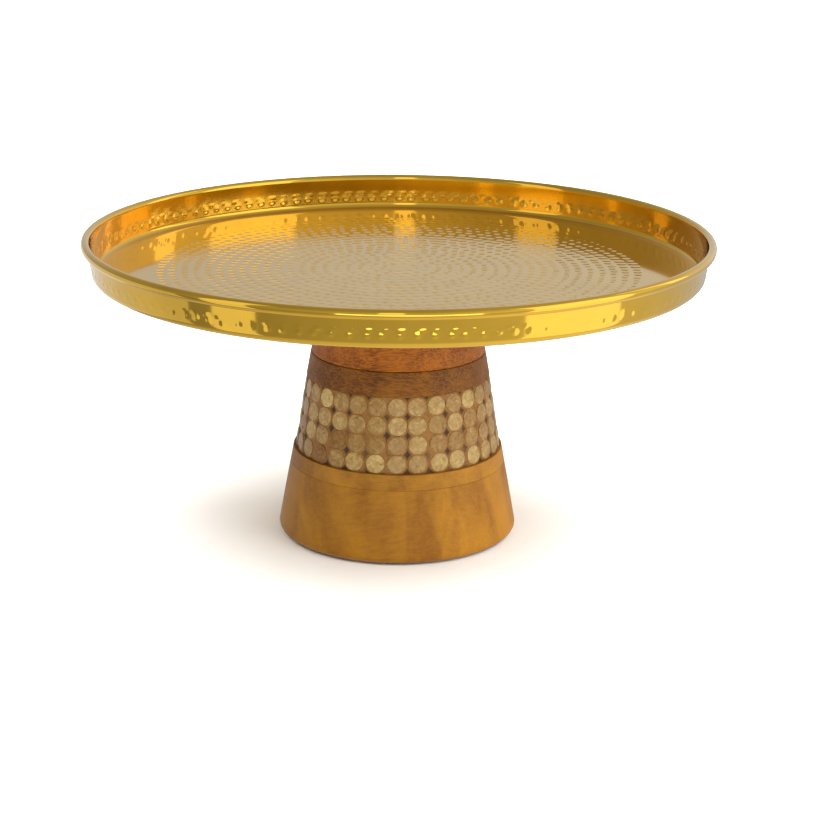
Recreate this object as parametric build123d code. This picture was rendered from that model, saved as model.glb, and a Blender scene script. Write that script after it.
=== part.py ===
"""Cake stand: a spun gold tray that screws onto a turned wooden pedestal with an inlaid band.

Millimetres, +Z up. The origin is on the table, on the stand's own axis. Every piece is a
separate solid, written to parts/ under its own name.
"""
from build123d import *

import os
from math import atan2, cos, degrees, pi, radians, sin, tan
from random import Random

os.makedirs("parts", exist_ok=True)

# ---- tray: one spun sheet, with its rim rolled outwards ----
RIM_DIAMETER = 304.8        # over the rolled rim
RIM_HEIGHT = 17.5           # from the deck's top face to the top of the rim
SHEET = 0.8                 # thickness of the sheet
WALL_LEAN = 4.5             # degrees that the wall leans out from upright
CORNER_RADIUS = 2.5         # inside the corner between deck and wall
BEAD_WIDTH = 4.3            # rolled rim, across
BEAD_STRAIGHT = 0.4         # upright stretch between the roll's two bends
ROLL_TURN = 105.0           # degrees that the sheet's end curls in under the rim

# ---- pedestal: blocks glued in a stack and turned to one cone ----
FOOT_DIAMETER = 119.4       # of the cone, carried down to the table
TAPER = 10.36               # degrees that the cone's side leans in
BASE_HEIGHT = 35.2          # base block
LOWER_RING_HEIGHT = 7.5
UPPER_RING_HEIGHT = 12.0
TOP_BLOCK_HEIGHT = 39.4
BASE_ROUND = 3.0            # rounding of the base block's bottom edge
TOP_ROUND = 1.0             # broken upper edge of the top block
BOARD_JOINT = 22.0          # from the axis to the glue joint between the base's two boards
SEAM_CHAMFER = 0.15         # broken edge at each glued seam
GROOVE_CHAMFER = 0.45       # deeper broken edge at the seam under the top block

# ---- mosaic: rows of round shell pieces laid in resin on a wooden core ----
SHELL_DIAMETER = 9.05
SHELL_THICKNESS = 1.5
SHELL_CHAMFER = 0.3
SHELL_ROWS = 4
ROW_GAP = 0.12              # up the face, between one row and the next
SIDE_GAP = 0.1              # least usual gap between two pieces, which is in the top row
BED_THICKNESS = 1.0         # resin behind the shell
STEP_TOP = 0.2              # how far the mosaic lies inside the cone at its upper edge
STEP_FOOT = 1.2             # and at its lower edge
UNEVENNESS = 0.45           # share of the gap behind it that a piece may be off its place
RANDOM_SEED = 7             # the pieces are laid by hand, so their gaps are uneven

# ---- what joins the pieces ----
DOWEL_DIAMETER = 24.0       # centre dowel through the stack
DOWEL_IN_TOP = 10.0         # how far the dowel reaches into the top block
DOWEL_IN_BASE = 22.0        # and into the base
GLUE_GAP = 0.1              # around the dowel and past its ends
THREAD_DIAMETER = 8.0       # M8 stud under the tray
THREAD_CLEARANCE = 0.05     # radial, between the stud and what it passes through
THREAD_ENGAGED = 12.5       # ten turns of 1.25 mm pitch
THREAD_TIP = 1.0            # chamfer on the stud's end and at the insert's mouth
INSERT_WALL = 2.2           # brass around the thread
INSERT_SPARE = 2.5          # how far the insert goes on below the stud's end
INSERT_FLANGE = 1.6         # thickness of the insert's flange
FLANGE_OVERHANG = 3.0       # how far the flange stands out around the insert
STUD_HOLE_SPARE = 3.0       # drilled on past the insert
SEAT_RIM = 9.7              # wood left around the recess for plate and washer
SEAT_CLEARANCE = 1.0        # radial, around the plate in its recess
PLATE_THICKNESS = 2.0       # steel plate brazed under the deck
PLATE_CHAMFER = 0.5
WASHER_THICKNESS = 1.5      # rubber washer under the plate
WASHER_INSET = 1.0          # how far the washer's edge lies inside the plate's
SEAT_GAP = 0.3              # between the top block and the deck's underside
PAD_RIM = 10.1              # wood left around the cork pad's recess
PAD_THICKNESS = 2.0
PAD_RECESS = 1.0            # how deep the pad is let in
PAD_CLEARANCE = 0.4         # radial, around the pad

# ---- worked out from the sizes above ----
taper = radians(TAPER)
row_rise = (SHELL_DIAMETER + ROW_GAP) * cos(taper)
band_margin = SHELL_THICKNESS / 2 * sin(taper)
band_height = SHELL_ROWS * row_rise + 2 * band_margin

base_bottom = PAD_THICKNESS - PAD_RECESS
base_top = base_bottom + BASE_HEIGHT
mosaic_foot = base_top + LOWER_RING_HEIGHT
mosaic_top = mosaic_foot + band_height
ring_top = mosaic_top + UPPER_RING_HEIGHT
top_of_wood = ring_top + TOP_BLOCK_HEIGHT
deck_under = top_of_wood + SEAT_GAP
rim_top = deck_under + SHEET + RIM_HEIGHT

plate_under = deck_under - PLATE_THICKNESS
seat_floor = plate_under - WASHER_THICKNESS
stud_radius = THREAD_DIAMETER / 2
stud_bore = stud_radius + THREAD_CLEARANCE
insert_radius = stud_bore + INSERT_WALL
flange_radius = insert_radius + FLANGE_OVERHANG
stud_end = seat_floor - THREAD_ENGAGED
insert_end = stud_end - INSERT_SPARE
stud_hole_end = insert_end - STUD_HOLE_SPARE

dowel_bottom = base_top - DOWEL_IN_BASE
dowel_top = ring_top + DOWEL_IN_TOP
dowel_bore = DOWEL_DIAMETER / 2 + GLUE_GAP


def cone_radius(z):
    """Radius of the turned cone at height z."""
    return FOOT_DIAMETER / 2 - z * tan(taper)


seat_radius = cone_radius(top_of_wood) - SEAT_RIM
plate_radius = seat_radius - SEAT_CLEARANCE
washer_radius = plate_radius - WASHER_INSET
pad_recess_radius = cone_radius(base_bottom) - PAD_RIM
pad_radius = pad_recess_radius - PAD_CLEARANCE

# the mosaic's own face is a little steeper than the cone
face_foot = cone_radius(mosaic_foot) - STEP_FOOT
face_top = cone_radius(mosaic_top) - STEP_TOP
face_lean = atan2(face_foot - face_top, band_height)


def face_radius(z, depth=0.0):
    """Radius at height z of the mosaic's face, or of the surface that lies depth behind it."""
    return face_foot - (z - mosaic_foot) * tan(face_lean) - depth / cos(face_lean)


def turned(*points):
    """A solid turned about the stand's axis from its outline's (radius, height) points."""
    outline = make_face(Plane.XZ * Polyline(*points, close=True))
    return revolve(outline, axis=Axis.Z)


def tube(radius, bore, low, high):
    """A straight round tube on the stand's axis, between two heights."""
    return turned((bore, low), (radius, low), (radius, high), (bore, high))


def plug(radius, low, high):
    """A straight round rod on the stand's axis, between two heights."""
    return turned((0, low), (radius, low), (radius, high), (0, high))


def cone_slice(low, high, low_chamfer, high_chamfer):
    """A slice of the turned cone, with the two edges that show broken."""
    return turned(
        (0, low),
        (cone_radius(low) - low_chamfer, low),
        (cone_radius(low + low_chamfer), low + low_chamfer),
        (cone_radius(high - high_chamfer), high - high_chamfer),
        (cone_radius(high) - high_chamfer, high),
        (0, high),
    )


def sawn(block):
    """The block sawn upright at the glue joint, as its left and right boards."""
    size = 2 * FOOT_DIAMETER
    beside = (Align.MIN, Align.CENTER, Align.CENTER)
    right_side = Pos(BOARD_JOINT, 0, 0) * Box(size, size, size, align=beside)
    return block - right_side, block & right_side


def save(shape, name):
    """Writes one named piece, or a list of like pieces as one group."""
    if isinstance(shape, list):
        shape = Compound(label=name, children=shape)
    export_step(shape, f"parts/{name}.step")


# ---- tray and what is fixed under it ----

def sheet_edges(side):
    """The sheet's section from the axis to its curled end, moved side inwards from its middle."""
    lean = radians(WALL_LEAN)
    middle = deck_under + SHEET / 2
    corner = CORNER_RADIUS + SHEET / 2
    roll = (BEAD_WIDTH - SHEET) / 2
    roll_x = RIM_DIAMETER / 2 - SHEET / 2 - roll
    roll_z = rim_top - SHEET / 2 - roll
    wall_rise = roll_z + roll * sin(lean) - middle - corner * (1 - sin(lean))
    wall_length = wall_rise / cos(lean)
    foot_x = roll_x - (roll + corner) * cos(lean) - wall_length * sin(lean)

    deck_line = Line((0, middle + side), (foot_x, middle + side))
    corner_arc = JernArc(deck_line @ 1, (1, 0), corner - side, 90 - WALL_LEAN)
    wall_line = Line(corner_arc @ 1, corner_arc @ 1 + (corner_arc % 1) * wall_length)
    roll_arc = JernArc(wall_line @ 1, wall_line % 1, roll + side, WALL_LEAN - 180)
    roll_side = Line(roll_arc @ 1, roll_arc @ 1 - Vector(0, BEAD_STRAIGHT))
    roll_end = JernArc(roll_side @ 1, (0, -1), roll + side, -ROLL_TURN)
    return [deck_line, corner_arc, wall_line, roll_arc, roll_side, roll_end]


def make_tray():
    """The tray: flat deck, leaning wall and the rim that is rolled outwards and down."""
    inner = sheet_edges(SHEET / 2)
    outer = sheet_edges(-SHEET / 2)
    at_axis = Line(inner[0] @ 0, outer[0] @ 0)
    at_end = Line(inner[-1] @ 1, outer[-1] @ 1)
    section = make_face(Plane.XZ * (Curve() + inner + outer + [at_axis, at_end]))
    return revolve(section, axis=Axis.Z)


def make_mounting_plate():
    """The steel disc brazed under the deck, with a hole for the stud."""
    return turned(
        (stud_radius, plate_under),
        (plate_radius - PLATE_CHAMFER, plate_under),
        (plate_radius, plate_under + PLATE_CHAMFER),
        (plate_radius, deck_under),
        (stud_radius, deck_under),
    )


def make_stud():
    """The stud set in the plate. Its thread is drawn as a plain rod of the thread's size."""
    return turned(
        (0, stud_end),
        (stud_radius - THREAD_TIP, stud_end),
        (stud_radius, stud_end + THREAD_TIP),
        (stud_radius, deck_under),
        (0, deck_under),
    )


def make_seat_washer():
    """The rubber washer between the plate and the bottom of its recess."""
    return tube(washer_radius, stud_bore, seat_floor, plate_under)


# ---- wooden pedestal ----

def make_base_block():
    """The base: rounded bottom edge, recess for the cork pad and socket for the dowel."""
    low, high = base_bottom, base_top
    block = turned(
        (0, low),
        (cone_radius(low), low),
        (cone_radius(high - SEAM_CHAMFER), high - SEAM_CHAMFER),
        (cone_radius(high) - SEAM_CHAMFER, high),
        (0, high),
    )
    bottom_edges = block.edges().filter_by(GeomType.CIRCLE).group_by(Axis.Z)[0]
    block = fillet(bottom_edges, BASE_ROUND)
    block -= plug(pad_recess_radius, low, low + PAD_RECESS)
    return block - plug(dowel_bore, dowel_bottom - GLUE_GAP, high)


def make_ring(low, high, low_chamfer, high_chamfer):
    """A slice of the cone that the dowel passes through."""
    return cone_slice(low, high, low_chamfer, high_chamfer) - plug(dowel_bore, low, high)


def make_mosaic_core():
    """The turned drum that carries the mosaic."""
    depth = SHELL_THICKNESS + BED_THICKNESS
    return turned(
        (dowel_bore, mosaic_foot),
        (face_radius(mosaic_foot, depth), mosaic_foot),
        (face_radius(mosaic_top, depth), mosaic_top),
        (dowel_bore, mosaic_top),
    )


def make_resin_bed():
    """The coat of resin on the core, that the shell pieces are pressed onto."""
    depth = SHELL_THICKNESS + BED_THICKNESS
    return turned(
        (face_radius(mosaic_foot, depth), mosaic_foot),
        (face_radius(mosaic_foot, SHELL_THICKNESS), mosaic_foot),
        (face_radius(mosaic_top, SHELL_THICKNESS), mosaic_top),
        (face_radius(mosaic_top, depth), mosaic_top),
    )


def row_height(row):
    """Height of the middle of a row's faces. Rows are counted up from the bottom."""
    middle = mosaic_foot + band_margin + (row + 0.5) * row_rise
    return middle + SHELL_THICKNESS / 2 * sin(face_lean)


def pieces_in_row():
    """As many pieces as fit round the top row. Every row has as many, so they stand in columns."""
    back = face_radius(row_height(SHELL_ROWS - 1)) - SHELL_THICKNESS
    return int(2 * pi * back / (SHELL_DIAMETER + SIDE_GAP))


def make_shell_row(row, random):
    """One row of shell pieces, each flat against the resin bed, laid from the front."""
    height = row_height(row)
    radius = face_radius(height)
    count = pieces_in_row()
    gap = 2 * pi * (radius - SHELL_THICKNESS) / count - SHELL_DIAMETER
    face_up = (Align.CENTER, Align.CENTER, Align.MAX)
    blank = Cylinder(SHELL_DIAMETER / 2, SHELL_THICKNESS, align=face_up)
    piece = chamfer(blank.edges().group_by(Axis.Z)[-1], SHELL_CHAMFER)
    standing = Pos(radius, 0, height) * Rot(0, 90 - degrees(face_lean), 0) * piece
    pieces = []
    for place in range(count):
        slip = gap * UNEVENNESS * random.uniform(-1, 1)
        turn = 360 * place / count - 90 + degrees(slip / radius)
        pieces.append(Rot(0, 0, turn) * standing)
    return pieces


def make_top_block():
    """The top block: groove under it, recess for plate and washer, and holes on its axis."""
    block = cone_slice(ring_top, top_of_wood, GROOVE_CHAMFER, TOP_ROUND)
    block -= plug(dowel_bore, ring_top, dowel_top + GLUE_GAP)
    block -= plug(seat_radius, seat_floor, top_of_wood)
    block -= plug(flange_radius, seat_floor - INSERT_FLANGE, seat_floor)
    block -= plug(insert_radius, insert_end, seat_floor)
    return block - plug(stud_radius, stud_hole_end, insert_end)


def make_threaded_insert():
    """The flanged brass insert that the stud screws into."""
    flange_under = seat_floor - INSERT_FLANGE
    return turned(
        (stud_bore, insert_end),
        (insert_radius, insert_end),
        (insert_radius, flange_under),
        (flange_radius, flange_under),
        (flange_radius, seat_floor),
        (stud_bore + THREAD_TIP, seat_floor),
        (stud_bore, seat_floor - THREAD_TIP),
    )


def main():
    base_left, base_right = sawn(make_base_block())
    lower_ring = make_ring(base_top, mosaic_foot, SEAM_CHAMFER, SEAM_CHAMFER)
    lower_left, lower_right = sawn(lower_ring)
    random = Random(RANDOM_SEED)

    save(make_tray(), "tray")
    save(make_mounting_plate(), "mounting_plate")
    save(make_stud(), "threaded_stud")
    save(make_seat_washer(), "seat_washer")
    save(make_threaded_insert(), "threaded_insert")
    save(make_top_block(), "top_block")
    save(make_ring(mosaic_top, ring_top, SEAM_CHAMFER, GROOVE_CHAMFER), "upper_ring")
    save(make_mosaic_core(), "mosaic_core")
    save(make_resin_bed(), "resin_bed")
    for row in range(SHELL_ROWS):
        save(make_shell_row(row, random), f"shell_row_{row + 1}")
    save(lower_left, "lower_ring_left")
    save(lower_right, "lower_ring_right")
    save(base_left, "base_board_left")
    save(base_right, "base_board_right")
    save(plug(DOWEL_DIAMETER / 2, dowel_bottom, dowel_top), "centre_dowel")
    save(plug(pad_radius, 0, PAD_THICKNESS), "cork_pad")


main()
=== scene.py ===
from math import ceil, cos, log2, pi, radians, sin

import bpy
import numpy as np
from bpy.props import FloatProperty, FloatVectorProperty, IntProperty, PointerProperty
from mathutils import Matrix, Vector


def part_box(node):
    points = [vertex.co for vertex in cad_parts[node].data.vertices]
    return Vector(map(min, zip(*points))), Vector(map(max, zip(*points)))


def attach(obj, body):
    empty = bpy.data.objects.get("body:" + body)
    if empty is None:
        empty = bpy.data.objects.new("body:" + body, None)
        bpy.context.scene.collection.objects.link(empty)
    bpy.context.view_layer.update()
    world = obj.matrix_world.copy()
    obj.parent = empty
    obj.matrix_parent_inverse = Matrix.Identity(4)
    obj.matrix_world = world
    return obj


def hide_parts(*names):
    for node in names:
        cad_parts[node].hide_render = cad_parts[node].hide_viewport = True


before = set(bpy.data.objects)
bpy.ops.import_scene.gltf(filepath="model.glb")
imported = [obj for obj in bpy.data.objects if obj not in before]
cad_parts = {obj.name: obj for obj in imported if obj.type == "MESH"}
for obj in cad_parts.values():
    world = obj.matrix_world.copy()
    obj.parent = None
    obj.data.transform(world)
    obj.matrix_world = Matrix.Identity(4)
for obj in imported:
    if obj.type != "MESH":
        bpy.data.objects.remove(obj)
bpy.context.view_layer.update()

bl_info = {
    "name": "Cake stand",
    "version": (1, 0, 0),
    "blender": (4, 5, 0),
    "location": "View3D > Sidebar > Cake stand",
    "description": "A hammered gold tray on a turned mango wood foot with a band of shell mosaic",
    "category": "Add Mesh",
}

MM = 0.001
TURN = 2 * pi
SHELL_THICKNESS = 1.5 * MM
BED_THICKNESS = 1.0 * MM
SHELL_ROWS = (1, 2, 3, 4)

# how finely the deck is divided: radii and spacings in mm, rings, then points round a ring
DECK_STEP, MARKED_TO, BORDER_FROM, DECK_SPACING = 0.75, 122, 124, 1.1
UNDER_FROM, UNDER_SPACING = 3, 3
BORDER_RINGS, UNDER_RINGS = 4, 46
LEAST_ROUND, UNDER_MOST, DECK_MOST = 45, 360, 720

# points along the wall's section, by stretch, and round the rim
DECK_POINTS, CORNER_POINTS, WALL_POINTS, OVER_POINTS, CURL_POINTS = 2, 7, 18, 15, 8
RIM_ROUND = 1000

# the wall's two rows of dents: heights over the deck's underside, and the lower row's spacing,
# size and depth as shares of the upper row's
UPPER_DENTS, LOWER_DENTS = 10.1 * MM, 6.3 * MM
LOWER_PITCH, LOWER_SIZE, LOWER_DEPTH = 0.96, 0.72, 0.62
CLEAR_OF_BEAD = 0.2 * MM

# the stud: points round it and along it, its plain upper end, the chamfer at its tip, and how
# much of the thread's depth is cut off flat at crest and root
STUD_ROUND, STUD_POINTS = 64, 200
PLAIN_END, TIP, FLAT = 2 * MM, 1 * MM, 0.125

# points round a disc and round and up the resin, and where the resin's pits start and deepen,
# in disc radii from the nearest disc's middle
DISC_ROUND, RESIN_ROUND, RESIN_POINTS = 30, 900, 76
PIT_START, PIT_SLOPE = 1.14, 0.16

STRIP_DISTANCE = 1.9
FLOOR_REACH = 12.0


# ---- sizes and colours that a user would change ----


def length(name, description, default_mm):
    """A size in metres, given in millimetres."""
    return FloatProperty(
        name=name, description=description, default=default_mm * MM, unit="LENGTH", precision=5
    )


def angle(name, description, default_degrees):
    """An angle, given in degrees."""
    return FloatProperty(
        name=name, description=description, default=radians(default_degrees), unit="ROTATION"
    )


def colour(name, description, code):
    """A colour, given as an sRGB hex code."""
    return FloatVectorProperty(
        name=name, description=description, default=linear(code)[:3], subtype="COLOR", size=3
    )


def linear(code):
    """Linear RGBA of an sRGB hex code."""
    parts = np.array([int(code[i : i + 2], 16) for i in (1, 3, 5)]) / 255
    low = parts / 12.92
    high = ((parts + 0.055) / 1.055) ** 2.4
    return (*(float(v) for v in np.where(parts <= 0.04045, low, high)), 1.0)


class TraySizes(bpy.types.PropertyGroup):
    sheet: length("Sheet", "Thickness of the steel sheet", 0.8)
    wall_lean: angle("Wall lean", "How far the wall leans outwards", 4.5)
    corner: length("Corner", "Inside radius between deck and wall", 2.5)
    bead: length("Bead", "Width of the rolled rim", 4.3)
    bead_straight: length("Bead side", "Straight part of the roll's outer side", 0.4)
    curl: angle("Curl", "How far the roll turns back under itself", 105)
    deck_radius: length("Deck", "Radius at which the deck meets the rim piece", 143)
    mark: length("Hammer mark", "Radius of a mark in the deck", 2.5)
    mark_depth: length("Mark depth", "Depth of a mark in the deck", 0.23)
    mark_pitch: length("Mark pitch", "From one ring of marks to the next", 5.65)
    first_ring: length("First ring", "Radius of the innermost ring of marks", 8)
    last_ring: length("Last ring", "Radius of the outermost ring of marks", 121)
    dent: length("Dent", "Radius of a dent in the wall's upper row", 2.6)
    dent_depth: length("Dent depth", "How far a dent stands out of the wall", 0.5)
    dent_pitch: length("Dent pitch", "From one dent to the next", 7.4)
    gold: colour("Gold", "Colour of the gold plate", "#E7B734")


class MosaicSizes(bpy.types.PropertyGroup):
    dome: length("Dome", "How far the middle of a shell piece stands out", 0.1)
    tilt: angle("Tilt", "How far a shell piece may be out of true", 1.6)
    resin_level: length("Resin level", "How far the resin lies behind the shell faces", 0.2)
    pit_depth: length("Pit depth", "Depth of the deepest pits in the resin", 0.6)
    # painted light and shade: the shell right of the front is drawn paler and the shell left of it
    # darker, as light falls from the right
    side_light_painted: FloatProperty(
        name="Painted_side_light", description="How much paler the palest batch of shell is", default=0.2
    )
    palest_side: angle("Palest side", "Where the palest batch of shell is", -60)
    shell_light: colour("Light shell", "Palest shell", "#C6AE6E")
    shell_dark: colour("Dark shell", "Darkest shell", "#744800")
    resin: colour("Resin", "Colour of the resin", "#88590C")


class WoodColours(bpy.types.PropertyGroup):
    red: colour("Top block", "Middle colour of the top block", "#8D4E00")
    brown: colour("Upper ring", "Middle colour of the upper ring", "#6F4100")
    pale: colour("Lower ring", "Middle colour of the lower ring", "#97650F")
    base: colour("Base", "Middle colour of the base", "#97640A")


class ThreadSizes(bpy.types.PropertyGroup):
    pitch: length("Pitch", "Rise of the thread in one turn", 1.25)
    depth: length("Depth", "Depth of the thread", 0.68)


class StageSizes(bpy.types.PropertyGroup):
    lens: FloatProperty(name="Lens", description="Focal length in mm", default=91.96)
    distance: length("Distance", "Camera's distance in front of the axis", 1000)
    height: length("Height", "Camera's height over the floor", 366.9)
    aside: length("Aside", "Camera's place to the right of the axis", 7.5)
    tilt: angle("Tilt", "How far the camera looks down", 17.12)
    roll: angle("Roll", "How far the camera is out of level", 0.55)
    seed: IntProperty(name="Seed", description="Start of the random numbers", default=11)


# ---- making meshes ----


def outwards(points, faces):
    """The faces, all reversed if the closed surface's signed volume says they point inwards."""
    volume = 0.0
    for block in faces:
        first = points[block[:, 0]]
        for k in range(1, block.shape[1] - 1):
            product = np.cross(points[block[:, k]], points[block[:, k + 1]])
            volume += (first * product).sum()
    return faces if volume > 0 else [block[:, ::-1] for block in faces]


def build(name, points, faces, body, replaced, material, sharp=40):
    """A closed piece, smooth but for its sharp edges, riding on its body in place of CAD nodes."""
    mesh = bpy.data.meshes.new(name)
    rows = [face for block in outwards(points, faces) for face in block.tolist()]
    mesh.from_pydata(points.tolist(), [], rows)
    mesh.shade_smooth()
    mesh.set_sharp_from_angle(angle=radians(sharp))
    mesh.materials.append(material)
    piece = bpy.data.objects.new(name, mesh)
    bpy.context.scene.collection.objects.link(piece)
    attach(piece, body)
    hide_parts(*replaced)
    return piece


def grid_faces(rows, columns, loop):
    """Quads of a grid that closes round its columns, and round its rows too if loop is true."""
    row = np.arange(rows if loop else rows - 1)[:, None]
    column = np.arange(columns)[None, :]
    after, beside = (row + 1) % rows, (column + 1) % columns
    corners = (row, column), (row, beside), (after, beside), (after, column)
    return np.stack([(r * columns + c).ravel() for r, c in corners], axis=1)


def fan(pole, ring):
    """Triangles from a pole to a ring of points."""
    return np.stack([np.full(len(ring), pole), ring, np.roll(ring, -1)], axis=1)


def closed_stack(points):
    """Points and faces of a stack of rings whose first and last ring close to a pole."""
    rows, columns, _ = points.shape
    flat = points.reshape(-1, 3)
    poles = np.stack([points[0].mean(axis=0), points[-1].mean(axis=0)])
    ring = np.arange(columns)
    last = (rows - 1) * columns + ring
    faces = [
        grid_faces(rows, columns, False),
        fan(len(flat), ring[::-1]),
        fan(len(flat) + 1, last),
    ]
    return np.concatenate([flat, poles]), faces


def around(radius, turn, height):
    """Points from cylindrical coordinates, whose arrays may be broadcast together."""
    radius, turn, height = np.broadcast_arrays(radius, turn, height)
    return np.stack([radius * np.cos(turn), radius * np.sin(turn), height], axis=-1)


def node_points(name):
    """A CAD node's points, as an array."""
    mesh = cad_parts[name].data
    points = np.zeros(len(mesh.vertices) * 3)
    mesh.vertices.foreach_get("co", points)
    return points.reshape(-1, 3)


def struck(across, turn, radius, rows, random):
    """How deep the hammer has gone at each point.

    A row of marks is (place across, how many, radius, depth). A mark is deepest in its middle and
    falls off as the square of one less the squared distance over its squared radius. Each mark is
    a little out of its place and a little deeper or shallower than its neighbours.
    """
    depth = np.zeros_like(across)
    for place, count, size, deep in rows:
        slip = random.uniform(-0.13, 0.13, count)
        drift = random.uniform(-0.16, 0.16, count) * size
        strength = random.uniform(0.65, 1.0, count)
        start = random.uniform()
        near = np.abs(across - place) < size * 1.2
        a, t, r = across[near], turn[near] / TURN * count - start, radius[near]
        here = np.zeros_like(a)
        for step in (-1, 0, 1):
            which = np.round(t).astype(int) + step
            mark = which % count
            along = (t - which - slip[mark]) / count * TURN * r
            apart = (along**2 + (a - place - drift[mark]) ** 2) / size**2
            here = np.maximum(here, deep * strength[mark] * np.clip(1 - apart, 0, None) ** 2)
        depth[near] = np.maximum(depth[near], here)
    return depth


# ---- making materials ----


def add(tree, kind, links=None, stops=None, **settings):
    """Adds a node. links holds its sockets' values or the outputs that feed them, by name or
    number; stops holds a colour ramp's places and colours; settings holds its own settings."""
    node = tree.nodes.new("ShaderNode" + kind)
    for name, value in settings.items():
        setattr(node, name, value)
    for socket, value in (links or {}).items():
        if isinstance(value, bpy.types.NodeSocket):
            tree.links.new(value, node.inputs[socket])
        else:
            node.inputs[socket].default_value = value
    if stops:
        ramp = node.color_ramp
        while len(ramp.elements) < len(stops):
            ramp.elements.new(0.5)
        for element, (place, shade) in zip(ramp.elements, stops):
            element.position, element.color = place, shade
    return node


def new_material(name):
    """An empty material's tree, its shader and its object coordinates."""
    material = bpy.data.materials.new(name)
    material.use_nodes = True
    tree = material.node_tree
    tree.nodes.clear()
    shader = add(tree, "BsdfPrincipled")
    add(tree, "OutputMaterial", {"Surface": shader.outputs[0]})
    return material, tree, shader, add(tree, "TexCoord").outputs["Object"]


def shaded(rgb, factor):
    """A linear colour made lighter or darker, as RGBA."""
    return (*(min(1.0, c * factor) for c in rgb[:3]), 1.0)


def gold_plate(rgb):
    """Electroplated gold on polished steel sheet, lacquered.

    The plate is a yellow mirror, very slightly hazy where it was buffed. Buffing on a lathe left
    fine lines round the axis, drawn here about a millimetre apart so that they show, and the
    lacquer puts a colourless gloss over it that whitens the deck at a low angle.
    """
    material, tree, shader, place = new_material("gold_plated_steel_lacquered")
    flat = add(tree, "VectorMath", {0: place, 1: (1, 1, 0)}, operation="MULTIPLY")
    radius = add(tree, "VectorMath", {0: flat.outputs[0]}, operation="LENGTH")
    lines = add(
        tree,
        "TexNoise",
        {"W": radius.outputs["Value"], "Scale": 900.0, "Detail": 3.0},
        noise_dimensions="1D",
    )
    haze = add(tree, "TexNoise", {"Vector": place, "Scale": 45.0, "Detail": 4.0})
    tone = add(
        tree,
        "ValToRGB",
        {0: haze.outputs[0]},
        stops=[(0.3, shaded(rgb, 0.93)), (0.7, shaded(rgb, 1.05))],
    )
    rough = add(
        tree,
        "MapRange",
        {"Value": haze.outputs[0], "To Min": 0.045, "To Max": 0.1},
    )
    bump = add(
        tree,
        "Bump",
        {"Height": lines.outputs[0], "Strength": 0.06, "Distance": 0.0001},
    )
    tree.links.new(tone.outputs[0], shader.inputs["Base Color"])
    tree.links.new(rough.outputs[0], shader.inputs["Roughness"])
    tree.links.new(bump.outputs[0], shader.inputs["Normal"])
    shader.inputs["Metallic"].default_value = 1.0
    shader.inputs["Coat Weight"].default_value = 0.6
    shader.inputs["Coat Roughness"].default_value = 0.05
    return material


def mango_wood(name, rgb, red, contrast, seed, tilt, wavy=0.12, upright=1.0):
    """Waxed mango wood, turned on a lathe and sanded.

    Mango is an even, open-grained wood: soft patches of lighter and darker wood some 16 mm wide,
    drawn out upright where a block is cut across the board, faint streaks along the grain about
    2 mm apart, wavy figure as strong as wavy says, and short fine pores. Wax leaves a soft gloss.
    """
    material, tree, shader, place = new_material(name)
    laid = add(
        tree,
        "Mapping",
        {
            "Vector": place,
            "Location": (seed, seed * 0.7, seed * 1.3),
            "Rotation": (radians(tilt * 2), radians(tilt), radians(8)),
        },
    ).outputs[0]
    along = add(tree, "Mapping", {"Vector": laid, "Scale": (0.16, 1, 1)}).outputs[0]
    streaks = add(
        tree,
        "TexNoise",
        {"Vector": along, "Scale": 520.0, "Detail": 8.0, "Roughness": 0.68, "Distortion": 0.4},
    )
    stood = add(tree, "Mapping", {"Vector": laid, "Scale": (1, 1, upright)}).outputs[0]
    patches = add(
        tree,
        "TexNoise",
        {"Vector": stood, "Scale": 62.0, "Detail": 4.0, "Distortion": 0.7},
    )
    figure = add(
        tree,
        "TexWave",
        {
            "Vector": along,
            "Scale": 150.0,
            "Distortion": 15.0,
            "Detail": 5.0,
            "Detail Scale": 3.6,
        },
        bands_direction="Z",
    )
    fine = add(tree, "Mapping", {"Vector": laid, "Scale": (0.11, 1, 1)}).outputs[0]
    pores = add(tree, "TexNoise", {"Vector": fine, "Scale": 3200.0, "Detail": 2.0})
    dark = add(
        tree,
        "MapRange",
        {"Value": pores.outputs[0], "From Min": 0.6, "From Max": 0.76, "To Max": 0.55},
    )
    mixed = add(
        tree,
        "Math",
        {0: streaks.outputs[0], 1: 0.3, 2: add(
            tree, "Math", {0: patches.outputs[0], 1: 0.7 - wavy}, operation="MULTIPLY"
        ).outputs[0]},
        operation="MULTIPLY_ADD",
    )
    whole = add(
        tree,
        "Math",
        {0: figure.outputs["Fac"], 1: wavy, 2: mixed.outputs[0]},
        operation="MULTIPLY_ADD",
    )
    deep = shaded(rgb, 1 - 0.55 * contrast)
    deep = (deep[0], deep[1] * (1 - 0.15 * red), deep[2] * (1 - 0.3 * red), 1.0)
    tone = add(
        tree,
        "ValToRGB",
        {0: whole.outputs[0]},
        stops=[(0.36, deep), (0.5, shaded(rgb, 1.0)), (0.64, shaded(rgb, 1 + 0.5 * contrast))],
    )
    pored = add(
        tree,
        "Mix",
        {0: dark.outputs[0], 6: tone.outputs[0], 7: shaded(rgb, 0.42)},
        data_type="RGBA",
    )
    bump = add(
        tree,
        "Bump",
        {"Height": dark.outputs[0], "Strength": 0.25, "Distance": 0.0001},
        invert=True,
    )
    rough = add(
        tree,
        "MapRange",
        {"Value": streaks.outputs[0], "To Min": 0.4, "To Max": 0.58},
    )
    tree.links.new(pored.outputs[2], shader.inputs["Base Color"])
    tree.links.new(rough.outputs[0], shader.inputs["Roughness"])
    tree.links.new(bump.outputs[0], shader.inputs["Normal"])
    shader.inputs["IOR"].default_value = 1.5
    shader.inputs["Specular IOR Level"].default_value = 0.25
    return material


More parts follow.
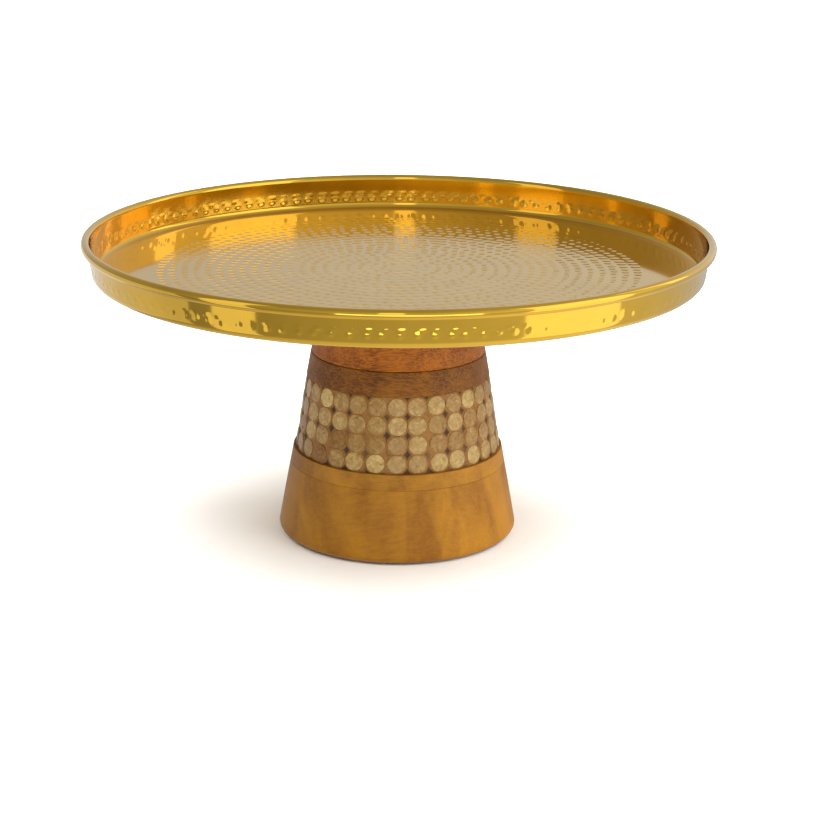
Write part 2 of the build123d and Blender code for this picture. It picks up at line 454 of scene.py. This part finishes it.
def polished_shell(light, dark):
    """Capiz shell, cut into discs, ground flat and polished.

    Each piece has its own tint, from tan to nearly white. Cloudy growth layers about 2 mm wide
    run through it, and the polish leaves a clear gloss over a faint pearly depth.
    """
    material, tree, shader, place = new_material("capiz_shell_polished")
    tint = add(tree, "Attribute", attribute_name="tint").outputs["Fac"]
    apart = add(tree, "Math", {0: tint, 1: 40.0}, operation="MULTIPLY").outputs[0]
    cloud = add(
        tree,
        "TexNoise",
        {"Vector": place, "W": apart, "Scale": 420.0, "Detail": 5.0, "Distortion": 1.2},
        noise_dimensions="4D",
    )
    amount = add(
        tree,
        "Math",
        {0: cloud.outputs[0], 1: 0.75, 2: add(
            tree, "Math", {0: tint, 1: 0.62, 2: -0.22}, operation="MULTIPLY_ADD"
        ).outputs[0]},
        operation="MULTIPLY_ADD",
    )
    middle = tuple(0.3 * a + 0.7 * b for a, b in zip(light, dark))
    tone = add(
        tree,
        "ValToRGB",
        {0: amount.outputs[0]},
        stops=[(0.15, shaded(dark, 1)), (0.42, shaded(middle, 1)), (0.78, shaded(light, 1))],
    )
    rough = add(tree, "MapRange", {"Value": cloud.outputs[0], "To Min": 0.2, "To Max": 0.42})
    bump = add(
        tree, "Bump", {"Height": cloud.outputs[0], "Strength": 0.12, "Distance": 0.0002}
    )
    tree.links.new(tone.outputs[0], shader.inputs["Base Color"])
    tree.links.new(rough.outputs[0], shader.inputs["Roughness"])
    tree.links.new(bump.outputs[0], shader.inputs["Normal"])
    shader.inputs["IOR"].default_value = 1.53
    shader.inputs["Specular IOR Level"].default_value = 0.3
    shader.inputs["Coat Weight"].default_value = 0.1
    shader.inputs["Coat Roughness"].default_value = 0.12
    return material


def filled_resin(rgb):
    """Casting resin tinted with sawdust, wiped level by hand.

    It dries dull, speckled by the dust at about half a millimetre, and its pits are drawn
    dark as painted shade.
    """
    material, tree, shader, place = new_material("resin_sawdust_filled")
    pit = add(tree, "Attribute", attribute_name="pit").outputs["Fac"]
    dust = add(tree, "TexNoise", {"Vector": place, "Scale": 1900.0, "Detail": 4.0})
    tone = add(
        tree,
        "ValToRGB",
        {0: dust.outputs[0]},
        stops=[(0.35, shaded(rgb, 0.7)), (0.65, shaded(rgb, 1.25))],
    )
    # painted shade: the resin is drawn dark where it has pits
    pit_shade_painted = add(
        tree,
        "Mix",
        {0: pit, 6: tone.outputs[0], 7: shaded(rgb, 0.16)},
        data_type="RGBA",
    )
    bump = add(tree, "Bump", {"Height": dust.outputs[0], "Strength": 0.3, "Distance": 0.0001})
    tree.links.new(pit_shade_painted.outputs[2], shader.inputs["Base Color"])
    tree.links.new(bump.outputs[0], shader.inputs["Normal"])
    shader.inputs["Roughness"].default_value = 0.55
    shader.inputs["IOR"].default_value = 1.52
    return material


def fine_grained(name, code, metallic, roughness, scale, spread, stretch=(1, 1, 1)):
    """A material whose tone and gloss vary in small grains, as many to the metre as scale says."""
    material, tree, shader, place = new_material(name)
    rgb = linear(code)
    laid = add(tree, "Mapping", {"Vector": place, "Scale": stretch}).outputs[0]
    grain = add(tree, "TexNoise", {"Vector": laid, "Scale": scale, "Detail": 5.0})
    tone = add(
        tree,
        "ValToRGB",
        {0: grain.outputs[0]},
        stops=[(0.35, shaded(rgb, 1 - spread)), (0.65, shaded(rgb, 1 + spread))],
    )
    rough = add(
        tree,
        "MapRange",
        {"Value": grain.outputs[0], "To Min": roughness * 0.8, "To Max": roughness * 1.15},
    )
    bump = add(
        tree, "Bump", {"Height": grain.outputs[0], "Strength": 0.2, "Distance": 0.0001}
    )
    tree.links.new(tone.outputs[0], shader.inputs["Base Color"])
    tree.links.new(rough.outputs[0], shader.inputs["Roughness"])
    tree.links.new(bump.outputs[0], shader.inputs["Normal"])
    shader.inputs["Metallic"].default_value = metallic
    return material


def dress(node, material):
    """Gives a CAD node its material."""
    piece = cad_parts[node]
    if not piece.material_slots:
        piece.data.materials.append(material)
    for place in piece.material_slots:
        place.material = material


# ---- the tray ----


def wall_section(sizes, low, rim_radius, top):
    """The middle line of the sheet from the deck to its curled end, with its inward normals.

    A straight piece of deck, an arc up into the wall, the straight leaning wall, an arc over the
    rim and down, a short straight side and an arc that curls under.
    """
    half, lean = sizes.sheet / 2, sizes.wall_lean
    middle, corner = low + half, sizes.corner + half
    roll = (sizes.bead - sizes.sheet) / 2
    roll_x, roll_z = rim_radius - half - roll, top - half - roll
    rise = roll_z + roll * sin(lean) - middle - corner * (1 - sin(lean))
    wall = rise / cos(lean)
    foot = roll_x - (roll + corner) * cos(lean) - wall * sin(lean)

    deck = np.linspace(sizes.deck_radius, (sizes.deck_radius + foot) / 2, DECK_POINTS)
    up = np.linspace(-pi / 2, -lean, CORNER_POINTS)
    climb = np.linspace(0, 1, WALL_POINTS)[1:-1] * wall
    over = np.linspace(pi - lean, 0, OVER_POINTS)
    under = np.linspace(0, -sizes.curl, CURL_POINTS)
    foot_of_wall = np.array([foot + corner * cos(lean), middle + corner * (1 - sin(lean))])

    line = np.concatenate(
        [
            np.stack([deck, np.full(DECK_POINTS, middle)], axis=1),
            np.stack([foot + corner * np.cos(up), middle + corner + corner * np.sin(up)], axis=1),
            foot_of_wall + climb[:, None] * np.array([sin(lean), cos(lean)]),
            np.stack([roll_x + roll * np.cos(over), roll_z + roll * np.sin(over)], axis=1),
            np.stack(
                [
                    roll_x + roll * np.cos(under),
                    roll_z - sizes.bead_straight + roll * np.sin(under),
                ],
                axis=1,
            ),
        ]
    )
    normal = np.concatenate(
        [
            np.tile([0.0, 1.0], (DECK_POINTS, 1)),
            np.stack([-np.cos(up), -np.sin(up)], axis=1),
            np.tile([-cos(lean), sin(lean)], (len(climb), 1)),
            np.stack([np.cos(over), np.sin(over)], axis=1),
            np.stack([np.cos(under), np.sin(under)], axis=1),
        ]
    )
    return line, normal


def ring_counts(radii, spacing, least, most):
    """Points round each ring: least, doubled until they are no further apart than spacing."""
    return [
        min(most, least * 2 ** max(0, ceil(log2(max(TURN * r / (least * spacing), 1)))))
        for r in radii
    ]


def nested_disc(radii, counts):
    """Radius and turn of a disc's points, with its faces.

    The disc is a pole and rings round it. Where a ring has twice as many points as the one inside
    it, each of the inner ring's steps is joined to two of the outer ring's by three triangles.
    """
    radius, turn, quads, triangles = [np.zeros(1)], [np.zeros(1)], [], []
    start, before = 1, None
    for r, count in zip(radii, counts):
        ring = start + np.arange(count)
        radius.append(np.full(count, r))
        turn.append(np.arange(count) / count * TURN)
        if before is None:
            triangles.append(fan(0, ring))
        elif len(before) == count:
            quads.append(
                np.stack([before, ring, np.roll(ring, -1), np.roll(before, -1)], axis=1)
            )
        else:
            even, odd, after = ring[::2], ring[1::2], np.roll(ring[::2], -1)
            beside = np.roll(before, -1)
            triangles += [
                np.stack([before, even, odd], axis=1),
                np.stack([before, odd, beside], axis=1),
                np.stack([beside, odd, after], axis=1),
            ]
        start, before = start + count, ring
    return np.concatenate(radius), np.concatenate(turn), quads, triangles, before


class CAKE_STAND_OT_tray(bpy.types.Operator):
    """Makes the hammered deck and the wall with its rolled rim"""

    bl_idname = "cake_stand.tray"
    bl_label = "Tray"

    def execute(self, context):
        sizes = context.scene.tray_sizes
        random = np.random.default_rng(context.scene.stage_sizes.seed)
        low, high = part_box("tray")
        gold = gold_plate(sizes.gold)

        # deck: the top has rings of hammer marks, the underside is plain and coarser
        edge = sizes.deck_radius
        marked = np.arange(DECK_STEP, MARKED_TO, DECK_STEP) * MM
        top_radii = np.append(marked, np.linspace(BORDER_FROM * MM, edge, BORDER_RINGS))
        top_counts = ring_counts(top_radii, DECK_SPACING * MM, LEAST_ROUND, DECK_MOST)
        under_radii = np.linspace(UNDER_FROM * MM, edge, UNDER_RINGS)
        under_counts = ring_counts(under_radii, UNDER_SPACING * MM, LEAST_ROUND, UNDER_MOST)
        under_counts[-1] = DECK_MOST
        r, t, quads, triangles, top_rim = nested_disc(top_radii, top_counts)
        places = np.arange(sizes.first_ring, sizes.last_ring, sizes.mark_pitch)
        rows = [
            (place, round(TURN * place / sizes.mark_pitch), sizes.mark, sizes.mark_depth)
            for place in places
        ]
        top = around(r, t, low.z + sizes.sheet - struck(r, t, r, rows, random))
        ur, ut, uquads, utriangles, under_rim = nested_disc(under_radii, under_counts)
        under = around(ur, ut, np.full_like(ur, low.z))
        shift = len(top)
        under_rim = under_rim + shift
        edge_faces = np.stack(
            [top_rim, under_rim, np.roll(under_rim, -1), np.roll(top_rim, -1)], axis=1
        )
        faces = quads + triangles + [edge_faces]
        faces += [block[:, ::-1] + shift for block in uquads + utriangles]
        build(
            "tray_deck",
            np.concatenate([top, under]),
            faces,
            "tray",
            ["tray"],
            gold,
        )

        # wall and rim: the sheet's section carried round the axis
        line, normal = wall_section(sizes, low.z, high.x, high.z)
        t = np.arange(RIM_ROUND) / RIM_ROUND * TURN
        wall_radius = line[DECK_POINTS + CORNER_POINTS - 1, 0]
        around_wall = TURN * wall_radius
        dents = [
            (
                low.z + UPPER_DENTS,
                round(around_wall / sizes.dent_pitch),
                sizes.dent,
                sizes.dent_depth,
            ),
            (
                low.z + LOWER_DENTS,
                round(around_wall / (sizes.dent_pitch * LOWER_PITCH)),
                sizes.dent * LOWER_SIZE,
                sizes.dent_depth * LOWER_DEPTH,
            ),
        ]
        height, turns = np.meshgrid(line[:, 1], t, indexing="ij")
        out = struck(height, turns, np.full_like(height, wall_radius), dents, random)
        out[line[:, 0] > high.x - sizes.bead - CLEAR_OF_BEAD] = 0
        faces_of_sheet = []
        for side in (1, -1):
            move = side * sizes.sheet / 2 - out
            faces_of_sheet.append(
                around(
                    line[:, :1] + normal[:, :1] * move,
                    t[None, :],
                    line[:, 1:] + normal[:, 1:] * move,
                )
            )
        loop = np.concatenate([faces_of_sheet[0], faces_of_sheet[1][::-1]])
        build(
            "tray_rim",
            loop.reshape(-1, 3),
            [grid_faces(len(loop), RIM_ROUND, True)],
            "tray",
            ["tray"],
            gold,
        )
        return {"FINISHED"}


# ---- what fixes the tray ----


class CAKE_STAND_OT_fixings(bpy.types.Operator):
    """Cuts the stud's thread and finishes the plate, the washer and the insert"""

    bl_idname = "cake_stand.fixings"
    bl_label = "Fixings"

    def execute(self, context):
        sizes = context.scene.thread_sizes
        # zinc plate on steel: bluish grey, bright but hazy, with spangle about a millimetre across
        zinc = fine_grained("zinc_plated_steel", "#B4B6B8", 1.0, 0.32, 1000.0, 0.08)
        # brass as it comes from the lathe: yellow, with fine turning lines round the axis
        brass = fine_grained("brass_turned", "#D2A85A", 1.0, 0.25, 2500.0, 0.08, (0.1, 0.1, 1))
        # pressed rubber sheet: black, dull, with a fine even texture
        rubber = fine_grained("rubber_black_pressed", "#1C1B1A", 0.0, 0.75, 3000.0, 0.3)
        dress("mounting_plate", zinc)
        dress("threaded_insert", brass)
        dress("seat_washer", rubber)

        # The thread is a surface of turn and height. Its radius is the crest's less the depth
        # times a triangle wave of height over pitch less the turn, cut off flat at crest and root.
        # The thread fades out at the upper end, and the tip has a chamfer.
        low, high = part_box("threaded_stud")
        crest = high.x
        t = np.arange(STUD_ROUND) / STUD_ROUND * TURN
        z = np.linspace(low.z, high.z - PLAIN_END, STUD_POINTS)
        phase = (z[:, None] - low.z) / sizes.pitch - t[None, :] / TURN
        wave = np.clip(np.abs(phase % 1 * 2 - 1) * (1 + 2 * FLAT) - FLAT, 0, 1)
        fade = np.clip((high.z - PLAIN_END - z) / sizes.pitch, 0, 1)[:, None]
        tip = np.clip(TIP - (z - low.z), 0, None)[:, None]
        radius = np.minimum(crest - sizes.depth * wave * fade, crest - tip)
        ends = np.full((1, STUD_ROUND), crest)
        radius = np.concatenate([radius, ends])
        z = np.append(z, high.z)
        points, faces = closed_stack(around(radius, t[None, :], z[:, None]))
        build(
            "threaded_stud_m8",
            points,
            faces,
            "tray",
            ["threaded_stud"],
            zinc,
        )
        return {"FINISHED"}


# ---- the mosaic ----


def islands(points, triangles):
    """Which separate solid each point belongs to, counted from 0.

    Points in one place share a label, and every triangle spreads its lowest label to its corners
    until nothing changes.
    """
    _, same = np.unique(np.round(points, 6), axis=0, return_inverse=True)
    same = same.ravel()
    corners = same[triangles]
    labels = np.arange(same.max() + 1)
    while True:
        lowest = labels.copy()
        np.minimum.at(lowest, corners.ravel(), np.repeat(labels[corners].min(axis=1), 3))
        if (lowest == labels).all():
            return np.unique(labels[same], return_inverse=True)[1].ravel()
        labels = lowest


def shell_places(node):
    """Middle of the front face and outward direction of each disc in a row of the CAD model."""
    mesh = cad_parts[node].data
    mesh.calc_loop_triangles()
    triangles = np.zeros(len(mesh.loop_triangles) * 3, int)
    mesh.loop_triangles.foreach_get("vertices", triangles)
    points = node_points(node)
    which = islands(points, triangles.reshape(-1, 3))
    count = which.max() + 1
    low = np.full((count, 3), np.inf)
    high = np.full((count, 3), -np.inf)
    np.minimum.at(low, which, points)
    np.maximum.at(high, which, points)
    middle = (low + high) / 2
    turn = np.arctan2(middle[:, 1], middle[:, 0])
    lean = bed_shape()[2]
    facing = around(cos(lean), turn, sin(lean))
    depth = ((points - middle[which]) * facing[which]).sum(axis=1)
    front = np.full(count, -np.inf)
    np.maximum.at(front, which, depth)
    return middle + facing * front[:, None], facing


def disc_size(node):
    """Radius of a disc: half the row's height, less what its thickness adds as it leans."""
    low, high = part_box(node)
    lean = bed_shape()[2]
    return ((high.z - low.z) / 2 - SHELL_THICKNESS / 2 * sin(lean)) / cos(lean)


def bed_shape():
    """Radius of the resin bed's face at its foot and its top, and how far the face leans."""
    points = node_points("resin_bed")
    low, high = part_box("resin_bed")
    radius = np.hypot(points[:, 0], points[:, 1])
    foot = radius[np.abs(points[:, 2] - low.z) < 0.01 * MM].max()
    top = radius[np.abs(points[:, 2] - high.z) < 0.01 * MM].max()
    return foot, top, float(np.arctan2(foot - top, high.z - low.z))


class CAKE_STAND_OT_shell_rows(bpy.types.Operator):
    """Makes the four rows of polished shell discs"""

    bl_idname = "cake_stand.shell_rows"
    bl_label = "Shell rows"

    def execute(self, context):
        sizes = context.scene.mosaic_sizes
        random = np.random.default_rng(context.scene.stage_sizes.seed + 1)
        shell = polished_shell(tuple(sizes.shell_light), tuple(sizes.shell_dark))
        # A disc's section from its back to its front as shares of its radius and mm of height:
        # a flat back, a straight edge, a worn round corner and a face that domes to the middle.
        share = np.array([0.5, 1.0, 1.0, 0.993, 0.97, 0.9, 0.55, 0.2])
        rise = np.array([-1.5, -1.5, -0.22, -0.09, -0.02, 0.0, 0.0, 0.0]) * MM
        rise += sizes.dome * (1 - share**2) * (rise > -0.5 * MM)
        around_disc = np.arange(DISC_ROUND) / DISC_ROUND * TURN
        for row in SHELL_ROWS:
            node = f"shell_row_{row}"
            centre, facing = shell_places(node)
            count = len(centre)
            disc_radius = disc_size(node)
            level = np.cross((0, 0, 1), facing)
            level /= np.linalg.norm(level, axis=1)[:, None]
            tilt = np.tan(random.uniform(-1, 1, (count, 2)) * sizes.tilt)
            normal = facing + level * tilt[:, :1] + np.cross(facing, level) * tilt[:, 1:]
            normal /= np.linalg.norm(normal, axis=1)[:, None]
            side = np.cross((0, 0, 1), normal)
            side /= np.linalg.norm(side, axis=1)[:, None]
            upward = np.cross(normal, side)
            # the outline is a circle with a little of two and three waves in it
            phase = random.uniform(0, TURN, (count, 2))
            wobble = (
                1
                - 0.007
                + 0.004 * np.cos(2 * around_disc + phase[:, :1])
                + 0.003 * np.cos(3 * around_disc + phase[:, 1:])
            )
            spread = disc_radius * share[None, :, None] * wobble[:, None, :]
            points = (
                centre[:, None, None, :]
                + side[:, None, None, :] * (spread * np.cos(around_disc))[..., None]
                + upward[:, None, None, :] * (spread * np.sin(around_disc))[..., None]
                + normal[:, None, None, :] * rise[None, :, None, None]
            )
            one, faces = closed_stack(points[0])
            shift = len(one)
            every = np.concatenate([closed_stack(p)[0] for p in points])
            step = np.arange(count)[:, None, None] * shift
            blocks = [(block[None] + step).reshape(-1, block.shape[1]) for block in faces]
            piece = build(
                f"shell_discs_row_{row}",
                every,
                blocks,
                "pedestal",
                [node],
                shell,
                sharp=60,
            )
            tint = piece.data.attributes.new("tint", "FLOAT", "POINT")
            # painted light and shade: pieces to the right of the front are drawn a bit paler and
            # those to the left darker, as light falls from the right
            turn = np.arctan2(centre[:, 1], centre[:, 0])
            side_light_painted = sizes.side_light_painted * np.cos(turn - sizes.palest_side)
            pale = np.clip(random.beta(1.7, 5.4, count) + side_light_painted, 0, 1)
            tint.data.foreach_set("value", np.repeat(pale, shift))
        return {"FINISHED"}


class CAKE_STAND_OT_resin_bed(bpy.types.Operator):
    """Makes the resin that stands between the shell discs"""

    bl_idname = "cake_stand.resin_bed"
    bl_label = "Resin bed"

    def execute(self, context):
        sizes = context.scene.mosaic_sizes
        random = np.random.default_rng(context.scene.stage_sizes.seed + 2)
        low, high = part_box("resin_bed")
        foot, top, lean = bed_shape()
        # The face is a surface of turn and height: the cone's radius raised between the discs,
        # less a pit wherever the nearest disc's middle is further away than PIT_START, as it is in
        # the diamond between four discs. A slow sum of sine waves says how deep each pit is.
        count, rows = RESIN_ROUND, RESIN_POINTS
        t = np.arange(count) / count * TURN
        z = np.linspace(low.z, high.z, rows)
        cone = foot - (foot - top) * (z - low.z) / (high.z - low.z)
        raised = (SHELL_THICKNESS - sizes.resin_level) / cos(lean)
        face = around(cone[:, None] + raised, t[None, :], z[:, None])
        nearest = np.full((rows, count), np.inf)
        for row in SHELL_ROWS:
            for centre in shell_places(f"shell_row_{row}")[0]:
                nearest = np.minimum(nearest, np.linalg.norm(face - centre, axis=2))
        waves = np.zeros((rows, count))
        for _ in range(12):
            round_about = int(random.integers(3, 24))
            upwards = random.uniform(-260, 260)
            phase = random.uniform(0, TURN)
            waves += np.sin(round_about * t[None, :] + upwards * z[:, None] + phase)
        open_here = np.clip(waves / 12**0.5 * 0.7 + 0.75, 0, 1)
        radius = disc_size("shell_row_1")
        pits = np.clip((nearest / radius - PIT_START) / PIT_SLOPE, 0, 1) * open_here
        face = around(cone[:, None] + raised - pits * sizes.pit_depth, t[None, :], z[:, None])
        back_depth = BED_THICKNESS / cos(lean)
        back = around(np.array([top, foot])[:, None] - back_depth, t[None, :], z[[-1, 0], None])
        loop = np.concatenate([face, back])
        piece = build(
            "resin_between_shells",
            loop.reshape(-1, 3),
            [grid_faces(rows + 2, count, True)],
            "pedestal",
            ["resin_bed"],
            filled_resin(tuple(sizes.resin)),
        )
        pit = piece.data.attributes.new("pit", "FLOAT", "POINT")
        pit.data.foreach_set("value", np.concatenate([pits.ravel(), np.zeros(2 * count)]))
        return {"FINISHED"}


# ---- wood and what is inside it ----


class CAKE_STAND_OT_wood(bpy.types.Operator):
    """Finishes the turned wood, the core, the dowel and the cork"""

    bl_idname = "cake_stand.wood"
    bl_label = "Wood"

    def execute(self, context):
        woods = context.scene.wood_colours
        red = mango_wood("mango_wood_red_waxed", woods.red, 1.0, 0.7, 1.7, 3, 0.2)
        brown = mango_wood("mango_wood_brown_waxed", woods.brown, 0.5, 0.8, 4.1, -4, 0.2)
        dress("top_block", red)
        dress("upper_ring", brown)
        # the pieces right of the glue joint are a little paler than those left of it: partly the
        # boards' own tone, partly painted shade on the left and painted light on the right, as
        # light falls from the right
        for side, share, ring, board in (
            ("left", 0.95, (7.3, 2), (2.9, 9)),
            ("right", 1.06, (9.9, 5), (6.2, -7)),
        ):
            pale, base = shaded(woods.pale, share), shaded(woods.base, share)
            ring_name, board_name = f"mango_wood_pale_waxed_{side}", f"mango_wood_base_waxed_{side}"
            ring_wood = mango_wood(ring_name, pale, 0.6, 0.6, *ring, 0.05, 0.6)
            base_wood = mango_wood(board_name, base, 0.9, 0.48, *board, 0.05, 0.38)
            dress(f"lower_ring_{side}", ring_wood)
            dress(f"base_board_{side}", base_wood)
        # softwood turned drum and beech dowel: pale, straight grained, unfinished
        core = fine_grained("core_wood_turned", "#C49A63", 0.0, 0.7, 500.0, 0.15, (1, 1, 0.1))
        beech = fine_grained("beech_dowel_planed", "#D2AC7A", 0.0, 0.6, 700.0, 0.12, (1, 1, 0.08))
        # pressed cork: granules about 2 mm across, light and dark, dull
        cork = fine_grained("cork_pressed", "#A67B4B", 0.0, 0.85, 520.0, 0.35)
        dress("mosaic_core", core)
        dress("centre_dowel", beech)
        dress("cork_pad", cork)
        return {"FINISHED"}


# ---- floor, light and camera ----


class CAKE_STAND_OT_stage(bpy.types.Operator):
    """Sets out the floor, the soft light and the camera"""

    bl_idname = "cake_stand.stage"
    bl_label = "Stage"

    def execute(self, context):
        scene, sizes = context.scene, context.scene.stage_sizes
        scene.view_settings.view_transform = "Standard"

        # a smooth painted floor: white, dull, very slightly mottled by the roller
        paper = fine_grained("floor_paint_rolled", "#F6F6F5", 0.0, 0.8, 30.0, 0.01)
        mesh = bpy.data.meshes.new("floor")
        reach = FLOOR_REACH
        mesh.from_pydata(
            [(-reach, -reach, 0), (reach, -reach, 0), (reach, reach, 0), (-reach, reach, 0)],
            [],
            [(0, 1, 2, 3)],
        )
        mesh.materials.append(paper)
        floor = bpy.data.objects.new("floor", mesh)
        scene.collection.objects.link(floor)
        floor.visible_glossy = False

        # a plain room, brightest low down and dimmer overhead, and dimmer on the left
        world = bpy.data.worlds.new("soft_room")
        scene.world = world
        world.use_nodes = True
        tree = world.node_tree
        tree.nodes.clear()
        direction = add(tree, "TexCoord").outputs["Generated"]
        parts = add(tree, "SeparateXYZ", {0: direction})
        up = add(
            tree, "MapRange", {"Value": parts.outputs["Z"], "From Min": -1, "From Max": 1}
        )
        # from straight down to straight up: pale table, dim band, walls, dimmer ceiling
        grey = [
            (0.0, 1.05),
            (0.15, 1.0),
            (0.25, 0.68),
            (0.42, 0.6),
            (0.5, 0.82),
            (0.66, 0.8),
            (0.85, 0.6),
            (1.0, 0.5),
        ]
        light = add(
            tree, "ValToRGB", {0: up.outputs[0]}, stops=[(p, (v, v, v * 0.985, 1)) for p, v in grey]
        )
        back = add(
            tree,
            "MapRange",
            {
                "Value": parts.outputs["Y"],
                "From Min": -1,
                "From Max": 1,
                "To Min": 0.95,
                "To Max": 0.9,
            },
        )
        across = add(
            tree,
            "MapRange",
            {
                "Value": parts.outputs["X"],
                "From Min": -1,
                "From Max": 1,
                "To Min": 0.47,
                "To Max": 1.2,
            },
        )
        strength = add(
            tree, "Math", {0: back.outputs[0], 1: across.outputs[0]}, operation="MULTIPLY"
        )
        sky = add(
            tree, "Background", {"Color": light.outputs[0], "Strength": strength.outputs[0]}
        )
        add(tree, "OutputWorld", {"Surface": sky.outputs[0]})

        # a low wide light in front, for the dents, and soft upright strips: turn from the
        # camera's side, width, foot, top and radiance. Those turned to the left only show in
        # gloss, so that the wood stays darker on the left.
        for number, (turn, width, foot, top, radiance) in enumerate(
            [
                (4, 1.7, -0.4, 0.1, 2.0),
                (-2, 0.3, 0.4, 2.1, 0.8),
                (66, 1.4, -1.1, 2.1, 0.75),
                (-60, 0.6, -1.1, 2.1, 0.65),
                (-122, 3.4, -1.1, 0.12, 0.4),
                (112, 0.4, 0.2, 2.1, 0.75),
            ],
            1,
        ):
            a, tall = radians(turn), top - foot
            lamp = bpy.data.lights.new(f"strip_{number}", "AREA")
            lamp.shape, lamp.size, lamp.size_y = "RECTANGLE", width, tall
            lamp.energy = radiance * pi * width * tall
            strip = bpy.data.objects.new(f"strip_{number}", lamp)
            scene.collection.objects.link(strip)
            strip.location = (STRIP_DISTANCE * sin(a), -STRIP_DISTANCE * cos(a), (foot + top) / 2)
            strip.rotation_euler = (radians(90), 0, a)
            strip.visible_camera = False
            strip.visible_diffuse = turn > 0
        # a ceiling light for the floor, and a soft key from the right that metal does not mirror
        for name, size, power, place, turn in (
            ("ceiling", 5.0, 330, (0.2, -0.2, 2.6), (0, 0, 0)),
            ("key", 1.1, 12, (1.5, -1.25, 0.85), (radians(70), 0, radians(50))),
        ):
            lamp = bpy.data.lights.new(name, "AREA")
            lamp.size, lamp.energy = size, power
            light_piece = bpy.data.objects.new(name, lamp)
            scene.collection.objects.link(light_piece)
            light_piece.location, light_piece.rotation_euler = place, turn
            light_piece.visible_glossy = False
            light_piece.visible_camera = False

        data = bpy.data.cameras.new("camera")
        data.lens, data.sensor_width = sizes.lens, 36
        camera = bpy.data.objects.new("camera", data)
        scene.collection.objects.link(camera)
        camera.matrix_world = (
            Matrix.Translation((sizes.aside, -sizes.distance, sizes.height))
            @ Matrix.Rotation(pi / 2 - sizes.tilt, 4, "X")
            @ Matrix.Rotation(sizes.roll, 4, "Z")
        )
        scene.camera = camera
        return {"FINISHED"}


# ---- the add-on ----

OPERATORS = (
    CAKE_STAND_OT_stage,
    CAKE_STAND_OT_tray,
    CAKE_STAND_OT_fixings,
    CAKE_STAND_OT_shell_rows,
    CAKE_STAND_OT_resin_bed,
    CAKE_STAND_OT_wood,
)
GROUPS = {
    "tray_sizes": TraySizes,
    "mosaic_sizes": MosaicSizes,
    "wood_colours": WoodColours,
    "thread_sizes": ThreadSizes,
    "stage_sizes": StageSizes,
}


class CAKE_STAND_PT_panel(bpy.types.Panel):
    """Lists the pieces and their sizes"""

    bl_idname = "CAKE_STAND_PT_panel"
    bl_label = "Cake stand"
    bl_space_type = "VIEW_3D"
    bl_region_type = "UI"
    bl_category = "Cake stand"

    def draw(self, context):
        for operator in OPERATORS:
            self.layout.operator(operator.bl_idname)
        for name in GROUPS:
            group = getattr(context.scene, name)
            for key in type(group).__annotations__:
                self.layout.prop(group, key)


def register():
    for group in GROUPS.values():
        bpy.utils.register_class(group)
    for name, group in GROUPS.items():
        setattr(bpy.types.Scene, name, PointerProperty(type=group))
    for operator in OPERATORS:
        bpy.utils.register_class(operator)
    bpy.utils.register_class(CAKE_STAND_PT_panel)


def unregister():
    bpy.utils.unregister_class(CAKE_STAND_PT_panel)
    for operator in reversed(OPERATORS):
        bpy.utils.unregister_class(operator)
    for name in GROUPS:
        delattr(bpy.types.Scene, name)
    for group in GROUPS.values():
        bpy.utils.unregister_class(group)


def main():
    register()
    bpy.ops.cake_stand.stage()
    bpy.ops.cake_stand.tray()
    bpy.ops.cake_stand.fixings()
    bpy.ops.cake_stand.shell_rows()
    bpy.ops.cake_stand.resin_bed()
    bpy.ops.cake_stand.wood()


if __name__ == "__main__":
    main()
